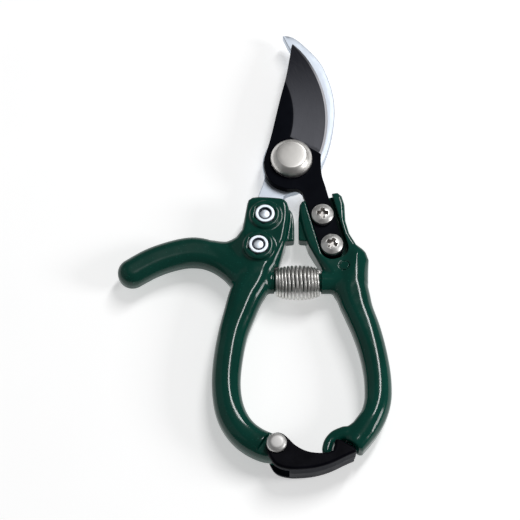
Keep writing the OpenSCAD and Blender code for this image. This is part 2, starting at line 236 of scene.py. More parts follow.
def turned(profile, sides=64, ripple=None):
    """A lathe surface: the profile (radius, height) turned about Z. An end at radius 0 becomes a pole; a
    profile that ends where it starts is a ring. ripple(angle, height) is added to the radius."""
    r, z = np.asarray(profile, float).T
    ring = r[0] > 1e-9 and math.hypot(r[0] - r[-1], z[0] - z[-1]) < 1e-9
    top, bottom = r[0] < 1e-9, r[-1] < 1e-9
    keep = slice(1 if top else 0, len(r) - 1 if (bottom or ring) else len(r))
    a = np.linspace(0, 2 * math.pi, sides, endpoint=False)
    rr, zz = np.meshgrid(r[keep], a, indexing="ij")[0], np.meshgrid(z[keep], a, indexing="ij")[0]
    if ripple is not None:
        rr = rr + ripple(a[None, :], zz)
    points = np.stack([rr * np.cos(a), rr * np.sin(a), zz], -1).reshape(-1, 3)
    rows, k = len(rr), np.arange(sides)
    faces = [grid_faces(rows, sides)]
    if ring:
        last = (rows - 1) * sides
        faces.append(np.stack([last + k, last + (k + 1) % sides, (k + 1) % sides, k], -1))
    if top:
        points = np.vstack([points, [0, 0, z[0]]])
        faces.append(np.stack([np.full(sides, len(points) - 1), (k + 1) % sides, k], -1))
    if bottom:
        points = np.vstack([points, [0, 0, z[-1]]])
        base = (rows - 1) * sides
        faces.append(np.stack([np.full(sides, len(points) - 1), base + k, base + (k + 1) % sides], -1))
    return points, faces


def placed(points, at=(0, 0), z=0.0, back=False, lean=0.0):
    """Points made about the origin, set on their axis; back turns them over to point away from the front."""
    p = np.array(points, float)
    if back:
        p = p * np.array([1, -1, -1])
    c, s = math.cos(math.radians(lean)), math.sin(math.radians(lean))
    x, y = p[:, 0] * c - p[:, 1] * s, p[:, 0] * s + p[:, 1] * c
    return np.stack([x + at[0], y + at[1], p[:, 2] + z], 1)


def plate(outline, top, bottom, rim=0.25, spacing=1.2, lines=(), holes=()):
    """A flat plate cut to outline. Its faces are a Delaunay mesh of the outline moved in by rim, of points
    spaced over it and of the crease lines; top and bottom give each point's height from its x, y.
    The rim is a narrow bevel round both faces. holes are (x, y, radius)."""
    loops = [np.asarray(outline, float)]
    t = np.linspace(0, 2 * math.pi, 48, endpoint=False)
    for hx, hy, hr in holes:
        loops.append(np.stack([hx + hr * np.cos(-t), hy + hr * np.sin(-t)], 1))
    insets = []
    for p in loops:
        edge = np.roll(p, -1, 0) - p
        edge = edge / np.maximum(np.hypot(*edge.T), 1e-9)[:, None]
        d = edge + np.roll(edge, 1, 0)
        n = np.stack([-d[:, 1], d[:, 0]], 1) / np.maximum(np.hypot(*d.T), 1e-9)[:, None]
        insets.append(p + n * rim)
    (x0, y0), (x1, y1) = loops[0].min(0), loops[0].max(0)
    gx, gy = np.meshgrid(np.arange(x0, x1, spacing), np.arange(y0, y1, spacing * 0.87))
    gx = gx + spacing / 2 * (np.arange(len(gx)) % 2)[:, None]
    g = np.stack([gx.ravel(), gy.ravel()], 1)
    far = -inside_outline(g[:, 0], g[:, 1], insets[0])
    for (hx, hy, hr) in holes:
        far = np.minimum(far, np.hypot(g[:, 0] - hx, g[:, 1] - hy) - hr - rim)
    for line in lines:
        far = np.minimum(far, bar(g[:, 0], g[:, 1], line, np.zeros(len(line))))
    g = g[far > spacing * 0.45]
    verts, edges = [], []
    for p in insets:
        base = len(verts)
        verts += [Vector(q) for q in p.tolist()]
        edges += [(base + i, base + (i + 1) % len(p)) for i in range(len(p))]
    for line in lines:
        base = len(verts)
        fine = curve(line, 6)
        fine = fine[inside_outline(*fine.T, insets[0]) < -0.3]
        verts += [Vector(q) for q in fine.tolist()]
        edges += [(base + i, base + i + 1) for i in range(len(fine) - 1)]
    verts += [Vector(q) for q in g.tolist()]
    v, _, f, origin, _, _ = delaunay_2d_cdt(verts, edges, [], 0, 1e-5)
    v = np.array([tuple(q) for q in v])
    f = np.array([tuple(q) for q in f if len(q) == 3])
    mid = v[f].mean(1)
    keep = inside_outline(mid[:, 0], mid[:, 1], insets[0]) < 0
    for p in insets[1:]:
        keep &= inside_outline(mid[:, 0], mid[:, 1], p) > 0
    f = f[keep]
    home = {}
    for i, names in enumerate(origin):
        for n in names:
            home[n] = i
    n = len(v)
    up = np.column_stack([v, top(v[:, 0], v[:, 1])])
    down = np.column_stack([v, bottom(v[:, 0], v[:, 1])])
    a, b, c = v[f[:, 0]], v[f[:, 1]], v[f[:, 2]]
    turn = np.cross(b - a, c - a) < 0
    f = np.where(turn[:, None], f[:, ::-1], f)
    faces = [f, f[:, ::-1] + n]
    points = [up, down]
    total = 2 * n
    base = 0
    for p in loops:
        m = len(p)
        inner = np.array([home[base + i] for i in range(m)])
        base += m
        zt, zb = up[inner, 2], down[inner, 2]
        drop = np.minimum(rim, (zt - zb) * 0.45)
        points += [np.column_stack([p, zt - drop]), np.column_stack([p, zb + drop])]
        k = np.arange(m)
        l = (k + 1) % m
        hi, lo = total + k, total + m + k
        hi2, lo2 = total + l, total + m + l
        faces += [np.stack([inner[l], inner, hi, hi2], 1), np.stack([hi2, hi, lo, lo2], 1),
                  np.stack([lo2, lo, inner + n, inner[l] + n], 1)]
        total += 2 * m
    return np.vstack(points), faces


# ---------------------------------------------------------------- finishes

def new_finish(name, colour, metallic=0.0, roughness=0.4, **sockets):
    """A material with one Principled shader; returns it with its nodes, links and shader."""
    mat = bpy.data.materials.new(name)
    mat.use_nodes = True
    nodes, links = mat.node_tree.nodes, mat.node_tree.links
    shader = nodes["Principled BSDF"]
    shader.inputs["Base Color"].default_value = (*colour, 1)
    shader.inputs["Metallic"].default_value = metallic
    shader.inputs["Roughness"].default_value = roughness
    for key, value in sockets.items():
        shader.inputs[key.replace("_", " ")].default_value = value
    return mat, nodes, links, shader


def place(nodes, links, scale=(1, 1, 1), centre=(0, 0, 0)):
    """Object coordinates in millimetres about centre, stretched by scale."""
    where = nodes.new("ShaderNodeTexCoord")
    shift = nodes.new("ShaderNodeVectorMath")
    shift.operation = "SUBTRACT"
    shift.inputs[1].default_value = [c * MM for c in centre]
    links.new(where.outputs["Object"], shift.inputs[0])
    mapping = nodes.new("ShaderNodeMapping")
    mapping.inputs["Scale"].default_value = [s / MM for s in scale]
    links.new(shift.outputs[0], mapping.inputs["Vector"])
    return mapping.outputs["Vector"]


def noise(nodes, links, vector, scale, detail=3.0, rough=0.5):
    """Noise of that many cycles to the millimetre."""
    n = nodes.new("ShaderNodeTexNoise")
    n.inputs["Scale"].default_value = scale
    n.inputs["Detail"].default_value = detail
    n.inputs["Roughness"].default_value = rough
    links.new(vector, n.inputs["Vector"])
    return n.outputs["Fac"]


def sums(nodes, links, operation, a, b=None):
    """A Math node on sockets or numbers."""
    n = nodes.new("ShaderNodeMath")
    n.operation = operation
    for socket, value in zip(n.inputs, (a, b)):
        if value is None:
            continue
        if isinstance(value, (int, float)):
            socket.default_value = value
        else:
            links.new(value, socket)
    return n.outputs[0]


def spread(nodes, links, value, a, b, low=0.0, high=1.0, smooth=False):
    """Carries value from the range a to b into low to high."""
    n = nodes.new("ShaderNodeMapRange")
    n.interpolation_type = "SMOOTHSTEP" if smooth else "LINEAR"
    links.new(value, n.inputs["Value"])
    for key, v in (("From Min", a), ("From Max", b), ("To Min", low), ("To Max", high)):
        n.inputs[key].default_value = v
    return n.outputs["Result"]


def tint(nodes, links, factor, a, b):
    """Mixes colour a into colour b by factor."""
    n = nodes.new("ShaderNodeMix")
    n.data_type = "RGBA"
    links.new(factor, n.inputs["Factor"])
    for socket, v in ((n.inputs[6], a), (n.inputs[7], b)):
        if isinstance(v, tuple):
            socket.default_value = (*v, 1)
        else:
            links.new(v, socket)
    return n.outputs[2]


def relief(nodes, links, shader, *layers):
    """Bump from layers of (height socket, depth in mm), each on top of the last."""
    normal = None
    for height, depth in layers:
        n = nodes.new("ShaderNodeBump")
        n.inputs["Strength"].default_value = 1.0
        n.inputs["Distance"].default_value = depth * MM
        links.new(height, n.inputs["Height"])
        if normal is not None:
            links.new(normal, n.inputs["Normal"])
        normal = n.outputs["Normal"]
    links.new(normal, shader.inputs["Normal"])


def radius_from(nodes, links, vector):
    """Plan distance from the origin of vector, sqrt(x^2 + y^2), and its angle."""
    split = nodes.new("ShaderNodeSeparateXYZ")
    links.new(vector, split.inputs[0])
    x, y = split.outputs["X"], split.outputs["Y"]
    square = sums(nodes, links, "ADD", sums(nodes, links, "MULTIPLY", x, x),
                  sums(nodes, links, "MULTIPLY", y, y))
    return sums(nodes, links, "SQRT", square), sums(nodes, links, "ARCTAN2", y, x)


def enamel():
    """Green enamel baked on a casting: a hard gloss with a slight orange peel, uneven depth of colour,
    a few specks, and a duller thumb lever."""
    mat, n, l, s = new_finish("green enamel", (0.002, 0.045, 0.03), roughness=0.12,
                              Specular_IOR_Level=0.36)
    at = place(n, l)
    broad = spread(n, l, noise(n, l, at, 0.05, 3), 0.3, 0.7)
    deep = tint(n, l, broad, (0.0006, 0.043, 0.030), (0.0015, 0.058, 0.042))
    specks = spread(n, l, noise(n, l, at, 1.6, 1), 0.68, 0.76)
    l.new(tint(n, l, specks, deep, (0.008, 0.095, 0.070)), s.inputs["Base Color"])
    split = n.new("ShaderNodeSeparateXYZ")
    l.new(at, split.inputs[0])
    lever = spread(n, l, split.outputs["X"], -26, -42, 0, 1, True)
    rough = sums(n, l, "ADD", spread(n, l, noise(n, l, at, 0.25, 4), 0.3, 0.7, 0.09, 0.15),
                 sums(n, l, "MULTIPLY", lever, 0.12))
    l.new(rough, s.inputs["Roughness"])
    relief(n, l, s, (noise(n, l, at, 0.4, 2), 0.008), (noise(n, l, at, 2.4, 2), 0.0012))
    return mat


def blade_coating():
    """Black non-stick coating on the cutting blade, with the grey ground hollow inside the arc of its
    edge, the fine scratches of the wheel along it, and the bright strip of the final bevel."""
    mat, n, l, s = new_finish("black blade coating", (0.006, 0.007, 0.011), roughness=0.45,
                              Specular_IOR_Level=0.02)
    at = place(n, l)
    arc = place(n, l, centre=(EDGE_CENTRE[0], EDGE_CENTRE[1], 0))
    r, angle = radius_from(n, l, arc)
    split = n.new("ShaderNodeSeparateXYZ")
    l.new(at, split.inputs[0])
    px, py, pz = split.outputs
    grain = noise(n, l, at, 3.0, 2)
    mottle = noise(n, l, at, 0.12, 4)
    # above the slanting end of the hollow, counted along the line's normal
    above = sums(n, l, "ADD", sums(n, l, "MULTIPLY", px, SLANT[0]),
                 sums(n, l, "MULTIPLY", py, SLANT[1]))
    above = spread(n, l, above, 9.1, 9.4)
    front = spread(n, l, pz, BLADE_PLANE + 0.2, BLADE_PLANE + 0.3)
    ground = sums(n, l, "MULTIPLY", spread(n, l, r, HOLLOW_RADIUS - 0.15, HOLLOW_RADIUS + 0.1), above)
    ground = sums(n, l, "MULTIPLY", ground, front)
    polar = n.new("ShaderNodeCombineXYZ")
    l.new(sums(n, l, "MULTIPLY", r, 5.0), polar.inputs[0])
    l.new(sums(n, l, "MULTIPLY", angle, 9.0), polar.inputs[1])
    scratches = noise(n, l, polar.outputs[0], 1.0, 4, 0.65)
    # painted shade: the ground hollow is painted darker toward the tip and lighter toward the pivot
    painted_shade_to_tip = spread(n, l, py, 52, 4)
    grey = tint(n, l, painted_shade_to_tip, (0.010, 0.011, 0.016), (0.088, 0.090, 0.102))
    grey = tint(n, l, spread(n, l, scratches, 0.35, 0.7, 0, 0.18), grey, (0.13, 0.13, 0.145))
    black = tint(n, l, spread(n, l, mottle, 0.3, 0.7), (0.0015, 0.002, 0.0045), (0.0035, 0.0045, 0.008))
    base = tint(n, l, ground, black, grey)
    strip = sums(n, l, "MULTIPLY", spread(n, l, r, BEVEL_RADIUS, BEVEL_RADIUS + 0.2), above)
    strip = sums(n, l, "MULTIPLY", strip, front)
    strip = sums(n, l, "MULTIPLY", strip, spread(n, l, py, 50, 40, 0.15, 1))
    l.new(tint(n, l, strip, base, (0.62, 0.62, 0.66)), s.inputs["Base Color"])
    l.new(sums(n, l, "MAXIMUM", sums(n, l, "MULTIPLY", ground, 0.1), sums(n, l, "MULTIPLY", strip, 0.3)),
          s.inputs["Metallic"])
    l.new(sums(n, l, "ADD", spread(n, l, grain, 0.3, 0.7, 0.30, 0.40),
               sums(n, l, "MULTIPLY", ground, spread(n, l, scratches, 0.3, 0.7, -0.06, 0.08))),
          s.inputs["Roughness"])
    relief(n, l, s, (grain, 0.004), (sums(n, l, "MULTIPLY", scratches, ground), 0.010))
    return mat


def ground_steel():
    """Bright steel of the counter blade: fine lengthwise grinding lines and faint cloudiness."""
    mat, n, l, s = new_finish("bright ground steel", (0.64, 0.69, 0.78), 1.0, 0.55, Anisotropic=0.3)
    at = place(n, l)
    arc = place(n, l, centre=(EDGE_CENTRE[0], EDGE_CENTRE[1], 0))
    r, angle = radius_from(n, l, arc)
    polar = n.new("ShaderNodeCombineXYZ")
    l.new(sums(n, l, "MULTIPLY", r, 6.0), polar.inputs[0])
    l.new(sums(n, l, "MULTIPLY", angle, 12.0), polar.inputs[1])
    lines = noise(n, l, polar.outputs[0], 1.0, 4, 0.6)
    cloud = noise(n, l, at, 0.2, 4)
    l.new(tint(n, l, spread(n, l, cloud, 0.3, 0.7), (0.57, 0.625, 0.70), (0.66, 0.71, 0.785)),
          s.inputs["Base Color"])
    l.new(sums(n, l, "ADD", spread(n, l, lines, 0.3, 0.7, 0.48, 0.60),
               spread(n, l, cloud, 0.3, 0.7, -0.04, 0.04)), s.inputs["Roughness"])
    relief(n, l, s, (lines, 0.008), (noise(n, l, at, 4.0, 2), 0.002))
    return mat


def polished(name, colour, centre, rings, low, high, flat=0.0, top_unshaded=1.0):
    """Turned and polished steel: faint rings about centre, hazy spots, tiny pits; the flat of its top,
    inside the radius flat, is painted darker toward black by one less the last argument: painted shade."""
    mat, n, l, s = new_finish(name, colour, 1.0, (low + high) / 2)
    at = place(n, l)
    r, angle = radius_from(n, l, place(n, l, centre=(*centre, 0)))
    ring = n.new("ShaderNodeCombineXYZ")
    l.new(sums(n, l, "MULTIPLY", r, rings), ring.inputs[0])
    l.new(sums(n, l, "MULTIPLY", angle, 0.6), ring.inputs[1])
    turned_lines = noise(n, l, ring.outputs[0], 1.0, 3, 0.6)
    haze = noise(n, l, at, 0.35, 4)
    steel = tint(n, l, spread(n, l, haze, 0.3, 0.7), tuple(c * 0.9 for c in colour), colour)
    # painted shade: inside the flat radius the steel is tinted toward near black
    painted_top_shade = sums(n, l, "MULTIPLY", spread(n, l, r, flat + 0.3, flat - 0.1), 1 - top_unshaded)
    l.new(tint(n, l, painted_top_shade, steel, (0.02, 0.02, 0.02)), s.inputs["Base Color"])
    l.new(sums(n, l, "ADD", spread(n, l, turned_lines, 0.3, 0.7, low, high),
               spread(n, l, haze, 0.35, 0.7, 0, 0.05)), s.inputs["Roughness"])
    relief(n, l, s, (turned_lines, 0.003), (noise(n, l, at, 3.0, 2), 0.002))
    return mat


def plated(name, colour, rough):
    """Zinc or nickel plated steel: clouded, slightly grainy, with soft streaks."""
    mat, n, l, s = new_finish(name, colour, 1.0, rough)
    at = place(n, l)
    cloud = noise(n, l, at, 0.6, 4, 0.6)
    grain = noise(n, l, at, 6.0, 2)
    # painted shade: where the recess attribute is 1, down in a screw's cross recess, the metal is tinted
    # toward dark brown
    recess_shade_node = n.new("ShaderNodeAttribute")
    recess_shade_node.attribute_name = "painted_recess_shade"
    metal = tint(n, l, spread(n, l, cloud, 0.3, 0.7), tuple(c * 0.86 for c in colour), colour)
    l.new(tint(n, l, recess_shade_node.outputs["Fac"], metal, (0.05, 0.028, 0.018)), s.inputs["Base Color"])
    l.new(spread(n, l, cloud, 0.3, 0.7, rough - 0.06, rough + 0.08), s.inputs["Roughness"])
    relief(n, l, s, (grain, 0.0012), (cloud, 0.003))
    return mat


def nylon():
    """Dark blue nylon of the locking rings, scuffed by the thread."""
    mat, n, l, s = new_finish("navy nylon", (0.008, 0.014, 0.035), roughness=0.45)
    at = place(n, l)
    scuff = noise(n, l, at, 2.0, 4)
    l.new(tint(n, l, spread(n, l, scuff, 0.4, 0.75), (0.006, 0.010, 0.026), (0.02, 0.03, 0.06)),
          s.inputs["Base Color"])
    l.new(spread(n, l, scuff, 0.3, 0.7, 0.35, 0.55), s.inputs["Roughness"])
    relief(n, l, s, (scuff, 0.01))
    return mat


def spring_wire():
    """Drawn stainless wire: lines along the wire, which runs round the X axis, and dark spots of scale."""
    mat, n, l, s = new_finish("spring wire", (0.74, 0.73, 0.71), 1.0, 0.3)
    at = place(n, l, scale=(9.0, 0.9, 0.9))
    drawn = noise(n, l, at, 1.0, 3, 0.6)
    scale_ = noise(n, l, place(n, l), 0.7, 4)
    l.new(tint(n, l, spread(n, l, scale_, 0.35, 0.7), (0.60, 0.59, 0.57), (0.80, 0.79, 0.77)),
          s.inputs["Base Color"])
    l.new(spread(n, l, drawn, 0.3, 0.7, 0.34, 0.46), s.inputs["Roughness"])
    relief(n, l, s, (drawn, 0.0015))
    return mat


def moulded_plastic():
    """Black moulded plastic of the catch: a fine spark-eroded grain and smoother rubbed patches; its sides
    below the front face are painted lighter and bluer, a painted sheen.
    """
    mat, n, l, s = new_finish("black moulded plastic", (0.004, 0.004, 0.006), roughness=0.5,
                              Specular_IOR_Level=0.03)
    at = place(n, l)
    split = n.new("ShaderNodeSeparateXYZ")
    l.new(at, split.inputs[0])
    # mask of the sides below the front face, which get a painted sheen of the floor's light
    side = spread(n, l, split.outputs["Z"], BLADE_PLANE + 7.4, BLADE_PLANE + 6.4)
    cells = n.new("ShaderNodeTexVoronoi")
    cells.inputs["Scale"].default_value = 2.2
    l.new(at, cells.inputs["Vector"])
    rub = noise(n, l, at, 0.18, 4)
    grain = noise(n, l, at, 3.5, 3)
    face = tint(n, l, spread(n, l, rub, 0.35, 0.7), (0.0018, 0.0018, 0.0035), (0.0045, 0.0045, 0.0075))
    # painted sheen: the sides' lighter, bluer colour, still varied by the grain
    painted_side_sheen = tint(n, l, spread(n, l, grain, 0.3, 0.7), (0.003, 0.0045, 0.009), (0.008, 0.010, 0.017))
    l.new(tint(n, l, side, face, painted_side_sheen), s.inputs["Base Color"])
    l.new(sums(n, l, "ADD", spread(n, l, rub, 0.3, 0.7, 0.40, 0.30),
               spread(n, l, grain, 0.3, 0.7, 0.0, 0.12)), s.inputs["Roughness"])
    relief(n, l, s, (cells.outputs["Distance"], 0.012), (grain, 0.012))
    return mat


ENAMEL = enamel()
COATING = blade_coating()
BRIGHT = ground_steel()
DOME = polished("polished pivot", (0.86, 0.84, 0.81), (0, 0), 9.0, 0.34, 0.46, 5.7, 0.50)
RIVETED = polished("satin rivet", (0.74, 0.73, 0.72), RIVET, 7.0, 0.42, 0.52, 2.9, 0.72)
PLATED = plated("nickel plated screws", (0.98, 0.97, 0.95), 0.38)
ZINC = plated("bluish zinc", (0.78, 0.84, 0.92), 0.45)
NYLON = nylon()
WIRE = spring_wire()
PLASTIC = moulded_plastic()


# ---------------------------------------------------------------- castings

LEFT_HEAD = [(-19.0, -22.4), (-18.5, -20.6), (-16.8, -19.4), (-14, -19.0), (-9, -19.3), (-4.6, -19.8),
             (-3.0, -20.4), (-1.9, -21.8), (-1.2, -24.4), (-1.0, -27.4), (-1.3, -31), (-2.8, -40.2),
             (-5.9, -50.8), (-10, -55), (-16, -57), (-24, -55), (-32, -48), (-36, -43), (-36, -40),
             (-33, -37.9), (-27.8, -37.7), (-23.8, -36.8), (-21.2, -34.2), (-20.3, -30)]
LEFT_LUG = [(-5, -23), (-1.0, -23.4), (0.2, -25.2), (0.8, -28), (1.05, -32), (1.05, -37.6),
            (0.5, -38.3), (-5, -38.8)]
RIGHT_LUG = [(9, -23), (4.0, -23), (3.1, -24.6), (2.8, -28), (2.8, -37.5), (3.4, -38.2), (10, -38.8)]
LEFT_GRIP = [(-11.6, -43), (-13.4, -49.5), (-16.4, -57), (-19.4, -63), (-22, -71), (-24.7, -80.2),
             (-26.6, -91), (-27.4, -101), (-26.9, -109), (-25.4, -115.5), (-22.8, -120.8),
             (-19.4, -124.9), (-15.2, -128), (-10.8, -130), (-6.8, -131)]
LEFT_GRIP_W = [7.0, 7.2, 7.4, 7.2, 6.7, 6.2, 6.1, 6.0, 6.0, 6.1, 6.1, 6.1, 6.1, 6.0, 5.2]
LEVER = [(-67.2, -52.2), (-60, -47.8), (-53.5, -45), (-46.5, -43), (-41, -42.5), (-35.5, -43.5),
         (-30, -46), (-25, -50), (-22, -54)]
LEVER_W = [6.2, 6.3, 6.3, 6.4, 6.5, 6.3, 6.2, 6.0, 5.6]

RIGHT_HEAD = [(3.1, -24), (3.3, -21.9), (4.3, -20.2), (5.6, -19.6), (10, -18.4), (16.4, -16.5),
              (19.6, -15.9), (21.4, -17.6), (22.5, -21.6), (22.8, -29.3), (24.3, -35.2), (27.2, -40.4),
              (30.8, -44.2), (32.2, -47.2), (31.6, -52), (31.2, -57), (27, -62), (21.6, -66),
              (17.8, -62.4), (14.6, -56.6), (12.0, -50.2), (9.4, -45.4), (7.0, -40.8), (4.9, -34.4),
              (3.6, -28.5)]
RIGHT_GRIP = [(27.2, -45.5), (26.4, -52), (25.5, -58), (25.9, -64), (27.6, -70), (30.6, -78.5),
              (33.1, -88), (34.7, -98), (35, -106), (34.5, -111.2), (32.9, -116.4), (30.3, -121.2),
              (27.6, -125.1), (25, -128.6)]
RIGHT_GRIP_W = [3.6, 5.0, 6.2, 6.8, 6.3, 6.0, 5.7, 5.6, 5.6, 5.5, 5.4, 5.4, 5.1, 4.7]
BEAK = [(30, -115), (27.6, -116.6), (24.4, -120.2), (20.5, -122.8), (16.8, -125), (15.2, -126.4),
        (16.6, -127.1), (19.4, -127), (21.6, -128), (24.4, -130), (26.6, -131.8), (27.9, -132),
        (30.6, -128.7), (33, -125), (33.6, -120), (33, -116)]
LIP = [(20.5, -124.6), (17.1, -126.1), (14.7, -128.4), (13.7, -131.2), (13.6, -132.6)]
LIP_W = [2.6, 2.5, 2.2, 2.1, 1.9]


def left_casting(x, y, z):
    """Field of the left handle: grip and thumb lever as nearly round bars, the head as a slab whose rim
    grows rounder toward the grip, joined with fillets; then bosses, lug, post, and what is cut out."""
    grip = slab(bar(x, y, LEFT_GRIP, LEFT_GRIP_W), z, -6.5, 6.5, 5.6)
    lever = slab(bar(x, y, LEVER, LEVER_W), z, -5.9, 5.0, 4.8)
    left, down = ramp(x, -19, -28), ramp(y, -38, -54)
    head = slab(inside_outline(x, y, LEFT_HEAD), z, -6.5, 7.3 - 2.9 * left - 1.5 * down * (1 - left),
                2.1 + 2.6 * np.maximum(left, down))
    f = fillet(fillet(grip, head, 1.8), lever, 1.8)
    f = fillet(f, slab(inside_outline(x, y, LEFT_LUG), z, -2.4, 3.0, 0.6), 0.5)
    post = np.maximum(np.hypot(y - SPRING_Y, z) - 4.7, np.abs(x + 12.2) - 4.8)
    f = fillet(f, post, 1.0)
    u, v = at_tang(COUNTER_TANG, x, y)
    for row in SCREW_ROWS:
        f = fillet(f, slab(np.hypot(u, v - row) - BOSS_RADIUS, z, 0, 8.6, 0.9), 0.9)
    # step down to the tongue that the catch straddles
    dx, dy = x - RIVET[0], y - RIVET[1]
    past = np.maximum(-5.6 - (dx * 0.82 - dy * 0.57), np.hypot(dx, dy) - 14)
    f = carve(f, np.maximum(past, TONGUE - np.abs(z)), 0.35)
    f = fillet(f, slab(np.hypot(dx, dy) - 5.3, z, -TONGUE, TONGUE, 0.5), 0.3)
    # room for the end turns of the spring, and the peg inside them
    f = carve(f, np.maximum(np.hypot(y - SPRING_Y, z) - SPRING_ROOM, -7.45 - x), 0.3)
    f = np.minimum(f, np.maximum(np.hypot(y - SPRING_Y, z) - SPRING_PEG, np.maximum(x - 1.4, -12 - x)))
    # channel for the tang at the back, pockets for the nuts at the front
    f = carve(f, np.maximum(np.maximum(np.abs(u) - 5.6, -20.6 - v), z), 0.35)
    for row in SCREW_ROWS:
        f = carve(f, np.maximum(hexagon(u, v - row, NUT_POCKET), 4.2 - z), 0.45)
    return f


def right_casting(x, y, z):
    """Field of the right handle, made as the left one is; its head is lower in front, where the channel
    for the cutting blade lies, and its end narrows to a beak with a thinner lip that the catch holds."""
    narrow = ramp(y, -117, -128)
    grip = slab(bar(x, y, RIGHT_GRIP, RIGHT_GRIP_W), z, -6.4 + 0.6 * narrow, 6.3 - 0.6 * narrow,
                5.3 - 0.7 * narrow)
    grip = carve(grip, 0.574 * (x - 24.4) + 0.819 * (y + 130.1), 0.9)
    head = slab(inside_outline(x, y, RIGHT_HEAD), z, -6.5, 4.6, 1.6 + 3.0 * ramp(y, -42, -56))
    f = fillet(grip, head, 2.4)
    f = fillet(f, slab(inside_outline(x, y, RIGHT_LUG), z, -2.4, 3.0, 0.6), 0.5)
    f = fillet(f, slab(inside_outline(x, y, BEAK), z, -4.9, 4.9, 2.4), 1.6)
    f = fillet(f, slab(bar(x, y, LIP, LIP_W), z, -TONGUE, TONGUE, 1.8), 1.2)
    post = np.maximum(np.hypot(y - SPRING_Y, z) - 4.8, np.abs(x - 16.6) - 4.5)
    f = fillet(f, post, 1.0)
    f = carve(f, np.maximum(np.hypot(y - SPRING_Y, z) - SPRING_ROOM, x - 12.1), 0.3)
    f = np.minimum(f, np.maximum(np.hypot(y - SPRING_Y, z) - SPRING_PEG, np.maximum(x - 17, 3.6 - x)))
    u, v = at_tang(CUTTING_TANG, x, y)
    for row in SCREW_ROWS:
        f = fillet(f, slab(np.hypot(u, v - row) - BOSS_RADIUS, z, -8.0, 0, 0.9), 1.0)
    cu, cv = np.abs(u - 0.7) - 6.0 + 5.0, -21.0 - v + 5.0
    channel = np.hypot(np.maximum(cu, 0), np.maximum(cv, 0)) + np.minimum(np.maximum(cu, cv), 0) - 5.0
    f = carve(f, np.maximum(channel, -z), 0.35)
    for row in SCREW_ROWS:
        f = carve(f, np.maximum(hexagon(u, v - row, NUT_POCKET), z + 3.8), 0.3)
    # shallow round mark of the mould's ejector pin
    pin = np.abs(np.hypot(x - 21.9, y + 50.7) - 2.1) - 0.16
    return carve(f, np.maximum(pin, 4.35 - z), 0.12)


PITCH = 0.42
piece("left handle casting", *skin(left_casting, (-74.6, -138.6, -7.6), (2.6, -18.8, 9.6), PITCH),
      "left_side", ENAMEL, "green_enamel", ["left_handle"], 180)
piece("right handle casting", *skin(right_casting, (1.4, -136.4, -9.4), (42.4, -14.8, 7.6), PITCH),
      "right_side", ENAMEL, "green_enamel", ["right_handle"], 180)


# ---------------------------------------------------------------- blades

def counter_clockwise(outline):
    """The outline, turned round if it runs clockwise, without repeated points."""
    p = np.asarray(outline, float)
    p = p[np.hypot(*(p - np.roll(p, 1, 0)).T) > 0.05]
    area = (p[:, 0] * np.roll(p[:, 1], -1) - np.roll(p[:, 0], -1) * p[:, 1]).sum()
    return p if area > 0 else p[::-1]


def tang_end(tang, half, low, left_top, right_top):
    """A tang's outline in its own frame: down its left side, round its end, up its right side."""
    a = np.linspace(math.pi, 2 * math.pi, 25)
    local = np.vstack([[(-half, left_top)], np.stack([half * np.cos(a), low + half * np.sin(a)], 1),
                       [(half, right_top)]])
    return np.stack(from_tang(tang, local[:, 0], local[:, 1]), 1)


EDGE = np.stack([EDGE_CENTRE[0] + EDGE_RADIUS * np.cos(np.radians(np.arange(-16, 35, 1.0))),
                 EDGE_CENTRE[1] + EDGE_RADIUS * np.sin(np.radians(np.arange(-16, 35, 1.0)))], 1)
CUTTING = counter_clockwise(np.vstack([
    EDGE, curve([EDGE[-1], (4.75, 55.5), (2.95, 57.45), (1.0, 59.3)], 4)[1:], [(0.75, 59.0)],
    curve([(0.4, 57.2), (-0.3, 52.6), (-2.1, 41.1),
           (-4.9, 29.2), (-8.9, 10.7), (-11.4, 1.5), (-11.7, -2.5), (-10.7, -7.3), (-7.9, -11.4),
           (-2.6, -13.8), (2.4, -14.1), (4.6, -15.8)], 5),
    tang_end(CUTTING_TANG, 5.0, -SCREW_PITCH, 7.5, 9.0),
    curve([(14.5, -13), (12.9, -6.6), (12.7, 1.6), (13.2, 4.6), tuple(EDGE[0])], 5)[:-1]]))


def cutting_top(x, y):
    """Front face of the cutting blade: flat, then hollow ground from 15 mm inside the edge's arc down to
    a thin edge, the hollow ending in a slant above the pivot."""
    r = np.hypot(x - EDGE_CENTRE[0], y - EDGE_CENTRE[1])
    hollow = np.interp(r, [41, 42.5, 45, 48, 52, 54.9, 56.2], [3.5, 3.25, 2.75, 2.15, 1.35, 0.9, 0.42])
    above = x * SLANT[0] + y * SLANT[1] - 9.2
    return np.minimum(CUTTING_THICK, np.maximum(hollow, CUTTING_THICK - np.maximum(above, 0) * 1.3))


arc_line = np.radians(np.arange(-19, 31, 2.5))
slant = [(0.2, 10.7), (4.5, 8.03), (9, 5.2), (13.2, 2.6)]
screw_holes = [(*from_tang(CUTTING_TANG, 0, row), SCREW_HOLE) for row in SCREW_ROWS]
points, faces = plate(
    CUTTING, cutting_top, lambda x, y: np.full(len(x), 0.1), 0.22, 1.1,
    [[(EDGE_CENTRE[0] + q * math.cos(a), EDGE_CENTRE[1] + q * math.sin(a)) for a in arc_line]
     for q in (HOLLOW_RADIUS, BEVEL_RADIUS)] + [slant],
    [(0, 0, PIVOT_HOLE)] + screw_holes)
piece("cutting blade plate", points, faces, "right_side", COATING, "black_coated_steel",
      ["cutting_blade"], 28)

